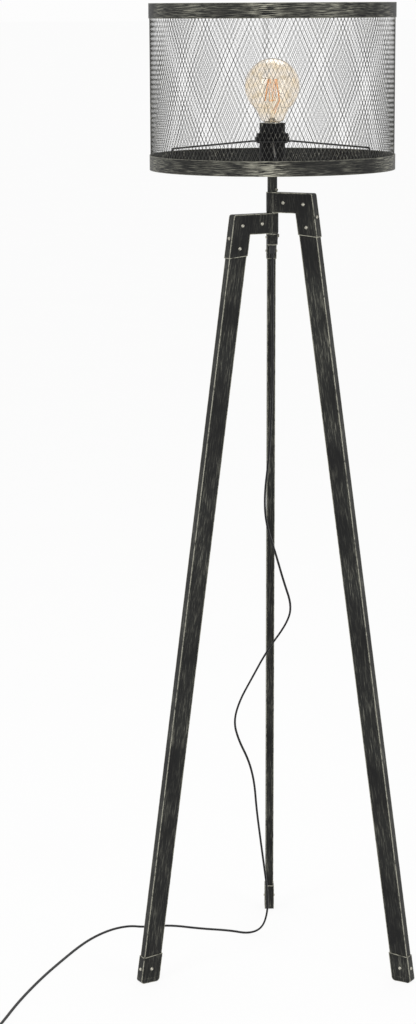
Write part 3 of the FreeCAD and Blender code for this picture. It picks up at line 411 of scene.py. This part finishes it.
def brushed_paint(name, coordinates, seed, streak, wear=1.0, cover=0.0, longer=1.0, spot=None, outside=False):
    """Black lacquer dry-brushed with silver along the coordinates' Z.

    Cover widens the streaks, wear is how much the edges show, and longer stretches each streak.
    """
    material, tree = new_material(name)
    run = coordinates(tree)
    per_metre = (1 / STREAK_WIDTH, 1 / STREAK_WIDTH, 1 / (STREAK_LENGTH * longer))
    stretch = add(tree, "ShaderNodeVectorMath", {"operation": "MULTIPLY"}, _0=run, _1=per_metre)
    streaks = add(tree, "ShaderNodeTexNoise", {"noise_dimensions": "4D"}, Vector=stretch, W=seed,
                  Scale=1.0, Detail=4.0, Roughness=0.62)
    lines = add(tree, "ShaderNodeValToRGB", Fac=streaks,
                stops=[(STREAK_STARTS - cover, BLACK), (STREAK_FULL - cover, WHITE)])
    patches = add(tree, "ShaderNodeTexNoise", {"noise_dimensions": "4D"}, Vector=run, W=seed + PATCH_SEED,
                  Scale=1 / PATCH, Detail=2.0, Roughness=0.5)
    where = add(tree, "ShaderNodeValToRGB", stops=[(0.38, grey(PATCH_LEAST)), (0.68, WHITE)], Fac=patches)
    amount = with_spot(tree, where, run, *spot) if spot else where
    if outside:
        amount = outside_only(tree, amount)
    caught = add(tree, "ShaderNodeMath", {"operation": "MULTIPLY"}, _0=lines, _1=amount)
    caught = add(tree, "ShaderNodeMath", {"operation": "MULTIPLY", "use_clamp": True}, _0=caught,
                 _1=STREAK_SILVER * streak)
    edges = add(tree, "ShaderNodeMath", {"operation": "MULTIPLY"}, _0=edge_mask(tree, EDGE_REACH, seed),
                _1=EDGE_SILVER * wear)
    silver = add(tree, "ShaderNodeMath", {"operation": "MAXIMUM"}, _0=caught, _1=edges)
    lacquer = add(tree, "ShaderNodeMix", {"data_type": "RGBA"}, _0=where, _6=linear(LACQUER),
                  _7=linear(LACQUER_WORN))
    colour = add(tree, "ShaderNodeMix", {"data_type": "RGBA"}, _0=silver, _6=(lacquer, 2), _7=linear(SILVER))
    rough = add(tree, "ShaderNodeMath", {"operation": "MULTIPLY_ADD"}, _0=streaks,
                _1=PAINT_ROUGHNESS_SWING, _2=PAINT_ROUGHNESS)
    metal = add(tree, "ShaderNodeMath", {"operation": "MULTIPLY"}, _0=silver, _1=FLAKES)
    bump = add(tree, "ShaderNodeBump", Strength=0.35, Distance=STREAK_RISE, Height=streaks)
    shader = add(tree, "ShaderNodeBsdfPrincipled", Base_Color=(colour, 2), Roughness=rough, Metallic=metal,
                 Normal=bump, IOR=1.5, Specular_IOR_Level=MATT_SHEEN)
    add(tree, "ShaderNodeOutputMaterial", Surface=shader)
    return material


# %% [markdown]
# ### A paint for each direction
# A leg leans by 8.3 degrees and faces its own way round the lamp, so each has its own turned coordinates
# and its own seed, which its bracket and shoe share. One material for all would brush across two of them.

# %% Painted steel
LEG_TILT = 8.3
AZIMUTHS = {"right": -30.0, "left": 210.0, "rear": 90.0}
SEED_STEP = 5.0
BAND_SPOT = (-12 * MM, 45 * MM)     # its middle, round from the front, and half its length

leg_paint = {}
for number, (side, azimuth) in enumerate(AZIMUTHS.items()):
    leg_paint[side] = brushed_paint("dry-brushed lacquer on the " + side + " leg",
                                    lambda tree, a=azimuth: along_axis(tree, a, LEG_TILT),
                                    seed=number * SEED_STEP, streak=0.75)
stem_paint = brushed_paint("dry-brushed lacquer on the stem", lambda tree: along_axis(tree, 0, 0), seed=17.0,
                           streak=0.7)
# the bands' inner faces stay black: bare lacquer and painted shade inside the drum
band_paint = brushed_paint("dry-brushed lacquer round the bands", round_the_drum, seed=23.0, streak=1.35,
                           wear=0.35, cover=0.05, longer=1.2, spot=BAND_SPOT, outside=True)
print("paint on", len(leg_paint), "legs")

# %% [markdown]
# ## Recipe for plastics and metals
# Each of these is a base colour, a roughness that varies a little with noise, and a fine bump. Moulded
# plastics have the soft grain of their tool, and rolled or plated metals have short wipe marks, which are
# the same noise with its coordinates stretched one way. Grain finer than half a millimetre wouldn't show,
# so the finest is drawn at that size.

# %% Solid finish
ROUGHNESS_SWING = 0.2


def finish(name, colour, tint, roughness, grain, metallic=0.0, ior=1.5, stretch=(1, 1, 1), bump=0.05,
           glow=None, sheen=0.5):
    """A surface with a mottled colour, a roughness that varies, and a fine grain in mm."""
    material, tree = new_material(name)
    place = add(tree, "ShaderNodeTexCoord")
    scaled = add(tree, "ShaderNodeVectorMath", {"operation": "MULTIPLY"}, _0=(place, "Object"),
                 _1=tuple(k / (grain * MM) for k in stretch))
    noise = add(tree, "ShaderNodeTexNoise", Vector=scaled, Scale=1.0, Detail=4.0, Roughness=0.55)
    tone = add(tree, "ShaderNodeValToRGB", stops=[(0.3, linear(colour)), (0.75, linear(tint))], Fac=noise)
    rough = add(tree, "ShaderNodeMath", {"operation": "MULTIPLY_ADD"}, _0=noise, _1=ROUGHNESS_SWING,
                _2=roughness - ROUGHNESS_SWING / 2)
    grainy = add(tree, "ShaderNodeBump", Strength=0.4, Distance=bump * MM, Height=noise)
    shader = add(tree, "ShaderNodeBsdfPrincipled", Base_Color=tone, Roughness=rough, Metallic=metallic,
                 Normal=grainy, Specular_IOR_Level=sheen)
    if not metallic:
        shader.inputs["IOR"].default_value = ior
    if glow:
        tree.links.new(tone.outputs[0], shader.inputs["Emission Color"])
        shader.inputs["Emission Strength"].default_value = glow
    add(tree, "ShaderNodeOutputMaterial", Surface=shader)
    return material


# %% [markdown]
# ## Recipe for glass
# Blown glass is clear at its surface, with a faint waviness, and its colour is in its body. So the surface
# lets light through and a volume inside takes some of it away: amber glass is deeper towards its rim,
# where a ray runs further in it. Shadow rays pass straight through, or the bulb would cast a black shadow.

# %% Glass
GLASS_WAVE = 0.2 * MM


def glass(name, body_colour, density, wave_size):
    """Glass with waves of a size in mm, and with a body colour that grows with depth."""
    material, tree = new_material(name)
    place = add(tree, "ShaderNodeTexCoord")
    waves = add(tree, "ShaderNodeTexNoise", Vector=(place, "Object"), Scale=1 / (wave_size * MM), Detail=2.0)
    bump = add(tree, "ShaderNodeBump", Strength=0.15, Distance=GLASS_WAVE, Height=waves)
    tone = add(tree, "ShaderNodeValToRGB", stops=[(0.3, linear("#ffffff")), (0.7, linear("#fff6e4"))],
               Fac=waves)
    surface = add(tree, "ShaderNodeBsdfPrincipled", Base_Color=tone, Roughness=0.02, IOR=1.5,
                  Transmission_Weight=1.0, Normal=bump)
    clear = add(tree, "ShaderNodeBsdfTransparent", Color=tone)
    path = add(tree, "ShaderNodeLightPath")
    cast = add(tree, "ShaderNodeMixShader", _0=(path, "Is Shadow Ray"), _1=surface, _2=clear)
    body = add(tree, "ShaderNodeVolumeAbsorption", Color=linear(body_colour), Density=density)
    add(tree, "ShaderNodeOutputMaterial", Surface=cast, Volume=body)
    return material


# %% [markdown]
# ## Metals of the fittings
# The bracket and shoe screws are painted black and worn back to bright steel on their heads, and their
# pale patches are also a painted highlight on the heads, so they read as pale dots. The carrier's wire is
# blackened, dark and dull. Nickel plate is a warm grey with soft reflections, and rolled brass is yellow
# with wipe marks along the strip.

# %% Metals
# painted highlight: the pale tint on the screw heads is partly worn steel and partly a painted highlight
worn_screw_steel_and_painted_highlight = finish("worn black-painted screw steel with painted highlight", "#55534b", "#f0ecdc", 0.34, 1.3, metallic=0.5)
black_steel = finish("blackened spring steel", "#151516", "#242525", 0.45, 2.5, stretch=(1, 1, 0.3),
                     sheen=0.3)
brass = finish("rolled brass strip", "#b98f3e", "#d6b15a", 0.3, 2.0, metallic=1.0, stretch=(1, 1, 0.2))
cap_metal = finish("nickel-plated brass screw cap", "#a9a69c", "#cbc8be", 0.28, 1.5, metallic=1.0)
pin_metal = finish("nickel-plated plug pin", "#b4b0a4", "#d2cfc4", 0.25, 1.0, metallic=1.0,
                   stretch=(1, 0.2, 1))
print("metals", [m.name for m in (worn_screw_steel_and_painted_highlight, black_steel, brass, cap_metal, pin_metal)])

# %% [markdown]
# ## Plastics, rubber and steatite
# Phenolic is a hard resin pressed in a warm mould, deep black with a dull skin. Nylon is turned and a
# little grey. Rubber is the roughest of the blacks. PVC flex is extruded, so it is smooth with a soft
# shine, and polycarbonate takes the fine grain of its eroded mould. Steatite is a white ceramic whose
# glaze is nearly as smooth as glass.

# %% Plastics
phenolic = finish("compression-moulded black phenolic", "#070708", "#0d0d0e", 0.5, 1.8, sheen=0.12)
nylon = finish("turned black nylon washer", "#18191a", "#242526", 0.45, 0.8)
rubber = finish("moulded black rubber strain relief", "#141415", "#1f1f20", 0.62, 0.9, ior=1.52)
sheath = finish("extruded black PVC flex", "#0b0b0c", "#151516", 0.45, 3.0, ior=1.53, bump=0.03, sheen=0.25)
switch_plastic = finish("spark-eroded black polycarbonate", "#151617", "#202122", 0.5, 0.5, ior=1.58,
                        bump=0.08)
contact_block = finish("grey moulded contact block", "#7b7c7a", "#8e8f8c", 0.5, 1.0)
steatite = finish("glazed white steatite", "#e4e0d6", "#f2efe8", 0.22, 4.0, ior=1.55, bump=0.02)
plastics = (phenolic, nylon, rubber, sheath, switch_plastic, contact_block, steatite)
print("plastics and ceramic", [m.name for m in plastics])

# %% [markdown]
# ## Bulb
# The globe is tinted amber in its body, the flare that carries the filament is nearly clear, and the black
# glass of the cap's insulator shines. The filament is carbon thread: brown and matt, with a weak glow of
# its own colour that stands for the light it gathers inside the globe.

# %% Bulb materials
amber_glass = glass("blown amber glass", "#ffc656", 50.0, 16.0)
stem_glass = glass("pressed flare glass", "#f4f0e0", 12.0, 6.0)
vitrite = finish("black glass insulator", "#0c0c0d", "#161617", 0.12, 3.0, ior=1.52, bump=0.01)
filament = finish("carbonised squirrel-cage filament", "#c47a34", "#e6ac66", 0.6, 2.0, glow=0.3)
print("bulb", [m.name for m in (amber_glass, stem_glass, vitrite, filament)])

# %% [markdown]
# ## Dress the frame
# The frame's nodes keep their shape and place, and only their material is set, from one table that says
# which pieces share a finish.

# %% Finishes by piece
BY_MATERIAL = [
    (band_paint, ["shade_top_band", "shade_bottom_band", "shade_band_rivets"]),
    (stem_paint, ["stem_tube", "lock_screw", "stop_screw"]),
    (black_steel, ["shade_carrier", "stem_bush", "threaded_nipple", "nipple_nut"]),
    (worn_screw_steel_and_painted_highlight, ["right_bracket_screws", "left_bracket_screws", "rear_bracket_screws",
                   "right_shoe_screws", "left_shoe_screws", "rear_shoe_screws"]),
    (phenolic, ["lampholder_cap", "lampholder_skirt", "lampholder_shade_ring"]),
    (steatite, ["lampholder_insert"]),
    (brass, ["lampholder_contacts"]),
    (cap_metal, ["bulb_screw_cap"]),
    (vitrite, ["bulb_insulator"]),
    (amber_glass, ["bulb_glass"]),
    (stem_glass, ["bulb_glass_stem"]),
    (filament, ["bulb_filament"]),
    (nylon, ["hinge_washers"]),
    (rubber, ["cord_strain_relief"]),
    (sheath, ["cord_in_stem"]),
    (switch_plastic, ["cord_switch_case", "cord_switch_button", "plug_body"]),
    (contact_block, ["cord_switch_contacts"]),
    (pin_metal, ["plug_pins"]),
]
for side, material in leg_paint.items():
    BY_MATERIAL.append((material, [side + "_leg", side + "_bracket", side + "_shoe"]))


def dress(node, material):
    """Gives a node of the frame its finish, and leaves its shape alone."""
    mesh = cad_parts[node].data
    mesh.materials.clear()
    mesh.materials.append(material)


dressed = set()
for material, nodes in BY_MATERIAL:
    for node in nodes:
        dress(node, material)
        dressed.add(node)
flex_curve.materials.append(sheath)
print("dressed", len(dressed), "nodes; left", sorted(set(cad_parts) - dressed))

# %% [markdown]
# ## Expanded metal
# The shade's wall is expanded metal: a sheet is slit in staggered rows and pulled, so that each slit opens
# into a diamond, about 7 mm wide and 15 mm high here. Every junction is a small lozenge and every strand
# joins two of them, so the whole drum is one mesh of lozenges and strands on a cylinder, given its
# thickness by a Solidify modifier. The rolled sheet overlaps itself by two columns at the back.

# %% Shade mesh
COLUMNS = 180
ROWS = 17
MESH_R = 198.3
MESH_LOW = 1353.4
MESH_HIGH = 1614.5
KNOT_HALF_W = 0.24
KNOT_HALF_H = 0.66
RIM_HALF_H = 0.4                    # a junction at the sheet's edge is cut shorter
SHEET_T = 0.45
OVERLAP_COLUMNS = 2
OVERLAP_DROP = 1.2                  # the overlap lies this far inside the drum
OVERLAP_SHIFT = 0.2                 # and this share of a diamond further round


def drum_point(along, z, radius):
    """Point at an arc length from the back of the drum."""
    angle = math.pi / 2 + along / MESH_R
    return (radius * math.cos(angle) * MM, radius * math.sin(angle) * MM, z * MM)


def expanded_metal():
    """Lozenges at the junctions, and two strands up from each of them."""
    step = 2 * math.pi * MESH_R / COLUMNS
    rise = (MESH_HIGH - MESH_LOW) / ROWS / 2
    verts, faces, knots = [], [], {}
    for column in range(COLUMNS + OVERLAP_COLUMNS):
        lapped = column >= COLUMNS
        radius = MESH_R - OVERLAP_DROP * lapped
        for level in range(2 * ROWS + 1):
            along = (column + 0.5 * (level % 2)) * step + OVERLAP_SHIFT * step * lapped
            z = MESH_LOW + level * rise
            up = KNOT_HALF_H if level < 2 * ROWS else RIM_HALF_H
            down = KNOT_HALF_H if level > 0 else RIM_HALF_H
            first = len(verts)
            verts += [drum_point(along, z + up, radius), drum_point(along + KNOT_HALF_W, z, radius),
                      drum_point(along, z - down, radius), drum_point(along - KNOT_HALF_W, z, radius)]
            faces.append((first, first + 3, first + 2, first + 1))
            knots[column, level] = first
    for (column, level), knot in knots.items():
        right = knots.get((column + level % 2, level + 1))
        left = knots.get((column + level % 2 - 1, level + 1))
        if right is not None:
            faces.append((knot, knot + 1, right + 2, right + 3))
        if left is not None:
            faces.append((knot + 3, knot, left + 1, left + 2))
    return mesh_from("expanded_metal", verts, faces)


# %% [markdown]
# ### Paint on the mesh
# The mesh has the same lacquer and the same silver, but a brush only dabs at thin strands, so it carries
# flecks in cloudy patches rather than streaks. Its black is painted lighter than the tubes' lacquer: that
# grey is painted light, standing in for how the thin strands look greyer against the light.

# %% Mesh paint
# painted light: the mesh's black is lighter than its lacquer, for the light round its thin strands
MESH_LACQUER_WITH_PAINTED_LIGHT = "#3f3f3d"
FLECK = 5 * MM
CLOUD = 60 * MM
CLOUD_LEAST = 0.15
FLECK_SILVER = 0.7
FLECK_RISE = 0.1 * MM


def flecked_paint(name):
    """Lacquer painted lighter as painted light round thin strands, with silver flecks in patches."""
    material, tree = new_material(name)
    place = add(tree, "ShaderNodeTexCoord")
    flecks = add(tree, "ShaderNodeTexNoise", Vector=(place, "Object"), Scale=1 / FLECK, Detail=4.0,
                 Roughness=0.6)
    clouds = add(tree, "ShaderNodeTexNoise", Vector=(place, "Object"), Scale=1 / CLOUD, Detail=2.0)
    caught = add(tree, "ShaderNodeValToRGB", stops=[(0.5, BLACK), (0.72, WHITE)], Fac=flecks)
    where = add(tree, "ShaderNodeValToRGB", stops=[(0.4, grey(CLOUD_LEAST)), (0.7, WHITE)], Fac=clouds)
    silver = add(tree, "ShaderNodeMath", {"operation": "MULTIPLY"}, _0=caught, _1=where)
    silver = add(tree, "ShaderNodeMath", {"operation": "MULTIPLY"}, _0=silver, _1=FLECK_SILVER)
    colour = add(tree, "ShaderNodeMix", {"data_type": "RGBA"}, _0=silver, _6=linear(MESH_LACQUER_WITH_PAINTED_LIGHT),
                 _7=linear(SILVER))
    bump = add(tree, "ShaderNodeBump", Strength=0.3, Distance=FLECK_RISE, Height=flecks)
    shader = add(tree, "ShaderNodeBsdfPrincipled", Base_Color=(colour, 2), Roughness=0.45, Metallic=0.0,
                 IOR=1.5, Normal=bump, Specular_IOR_Level=MATT_SHEEN)
    add(tree, "ShaderNodeOutputMaterial", Surface=shader)
    return material


# %% [markdown]
# ### The drum
# The drum stands for the frame's plain lattice. It rides on the stand, and the Solidify modifier thickens
# its sheet evenly to both sides.

# %% Drum
mesh_paint = flecked_paint("dry-brushed lacquer on expanded metal")
shade_mesh = piece("expanded_metal_drum", expanded_metal(), mesh_paint, BODY, ["shade_mesh"])
thickness = shade_mesh.modifiers.new("sheet", "SOLIDIFY")
thickness.thickness = SHEET_T * MM
thickness.offset = 0.0
print("drum of", len(shade_mesh.data.polygons), "lozenges and strands")

# %% [markdown]
# ## Floor and light
# A pale seamless floor under soft light from large lamps and an even world. The floor and the world turn
# nearly white for the rays that look at them, and the lamp keeps its soft shadow on the floor.

# %% Rays that look
def looked_at(tree):
    """1 for rays that look at the surface: from the camera, off a mirror or through glass."""
    path = add(tree, "ShaderNodeLightPath")
    seen = add(tree, "ShaderNodeMath", {"operation": "MAXIMUM"}, _0=(path, "Is Camera Ray"),
               _1=(path, "Is Glossy Ray"))
    return add(tree, "ShaderNodeMath", {"operation": "MAXIMUM"}, _0=seen, _1=(path, "Is Transmission Ray"))


# %% Floor
FLOOR_HALF_WIDTH = 60.0             # the floor's sizes are in metres
FLOOR_FRONT = -12.0
FLOOR_BACK = 300.0
FLOOR_MOTTLE = 400 * MM
FLOOR_WHITE_SHARE = 0.9

floor_mesh = mesh_from("floor", [(-FLOOR_HALF_WIDTH, FLOOR_FRONT, 0), (FLOOR_HALF_WIDTH, FLOOR_FRONT, 0),
                                 (FLOOR_HALF_WIDTH, FLOOR_BACK, 0), (-FLOOR_HALF_WIDTH, FLOOR_BACK, 0)],
                       [(0, 1, 2, 3)])
floor = bpy.data.objects.new("floor", floor_mesh)
bpy.context.collection.objects.link(floor)
floor_material, floor_tree = new_material("matt white studio floor")
floor_place = add(floor_tree, "ShaderNodeTexCoord")
floor_noise = add(floor_tree, "ShaderNodeTexNoise", Vector=(floor_place, "Object"), Scale=1 / FLOOR_MOTTLE,
                  Detail=2.0)
floor_tone = add(floor_tree, "ShaderNodeValToRGB", Fac=floor_noise,
                 stops=[(0.3, linear("#f1f1f0")), (0.7, linear("#f5f5f4"))])
floor_matt = add(floor_tree, "ShaderNodeBsdfDiffuse", Color=floor_tone)
floor_white = add(floor_tree, "ShaderNodeEmission", Color=WHITE, Strength=1.0)
floor_share = add(floor_tree, "ShaderNodeMath", {"operation": "MULTIPLY"}, _0=looked_at(floor_tree),
                  _1=FLOOR_WHITE_SHARE)
floor_mix = add(floor_tree, "ShaderNodeMixShader", _0=floor_share, _1=floor_matt, _2=floor_white)
add(floor_tree, "ShaderNodeOutputMaterial", Surface=floor_mix)
floor_mesh.materials.append(floor_material)
print("floor", floor_material.name)

# %% [markdown]
# ### World
# An even white world fills the shadows. Rays that look at it see it a little brighter than it lights, so
# that the background matches the floor.

# %% World
WORLD_LEVEL = 0.75
WORLD_SEEN = 0.98

world = bpy.data.worlds.new("studio")
bpy.context.scene.world = world
world.use_nodes = True
world_tree = world.node_tree
world_tree.nodes.clear()
world_even = add(world_tree, "ShaderNodeBackground", Color=WHITE, Strength=WORLD_LEVEL)
world_white = add(world_tree, "ShaderNodeBackground", Color=WHITE, Strength=WORLD_SEEN)
world_mix = add(world_tree, "ShaderNodeMixShader", _0=looked_at(world_tree), _1=world_even, _2=world_white)
add(world_tree, "ShaderNodeOutputWorld", Surface=world_mix)
print("world lights at", WORLD_LEVEL, "and is seen at", WORLD_SEEN)

# %% [markdown]
# ### Softboxes
# A large key lamp at the upper left shapes the tubes, a weaker one at the right fills their dark sides, and
# a third from behind and above lifts the shade's rim off the background. Places and sizes are in metres
# and power is in watts.

# %% Softboxes
def softbox(name, place, target, size, power):
    """A rectangular lamp that looks at a target."""
    lamp = bpy.data.lights.new(name, "AREA")
    lamp.shape = "RECTANGLE"
    lamp.size, lamp.size_y = size
    lamp.energy = power
    holder = bpy.data.objects.new(name, lamp)
    bpy.context.collection.objects.link(holder)
    aim = Vector(target) - Vector(place)
    holder.matrix_world = Matrix.Translation(place) @ aim.to_track_quat("-Z", "Y").to_matrix().to_4x4()


softbox("key_softbox", place=(-2.4, -3.0, 3.2), target=(0, 0, 1.0), size=(1.6, 2.2), power=48)
softbox("fill_softbox", place=(2.8, -2.6, 2.2), target=(0, 0, 0.9), size=(1.4, 2.0), power=22)
softbox("top_softbox", place=(0.3, 1.6, 3.6), target=(0, 0, 1.2), size=(1.6, 1.6), power=16)
bpy.context.scene.view_settings.view_transform = "Standard"
print("lamps", len(bpy.data.lights))
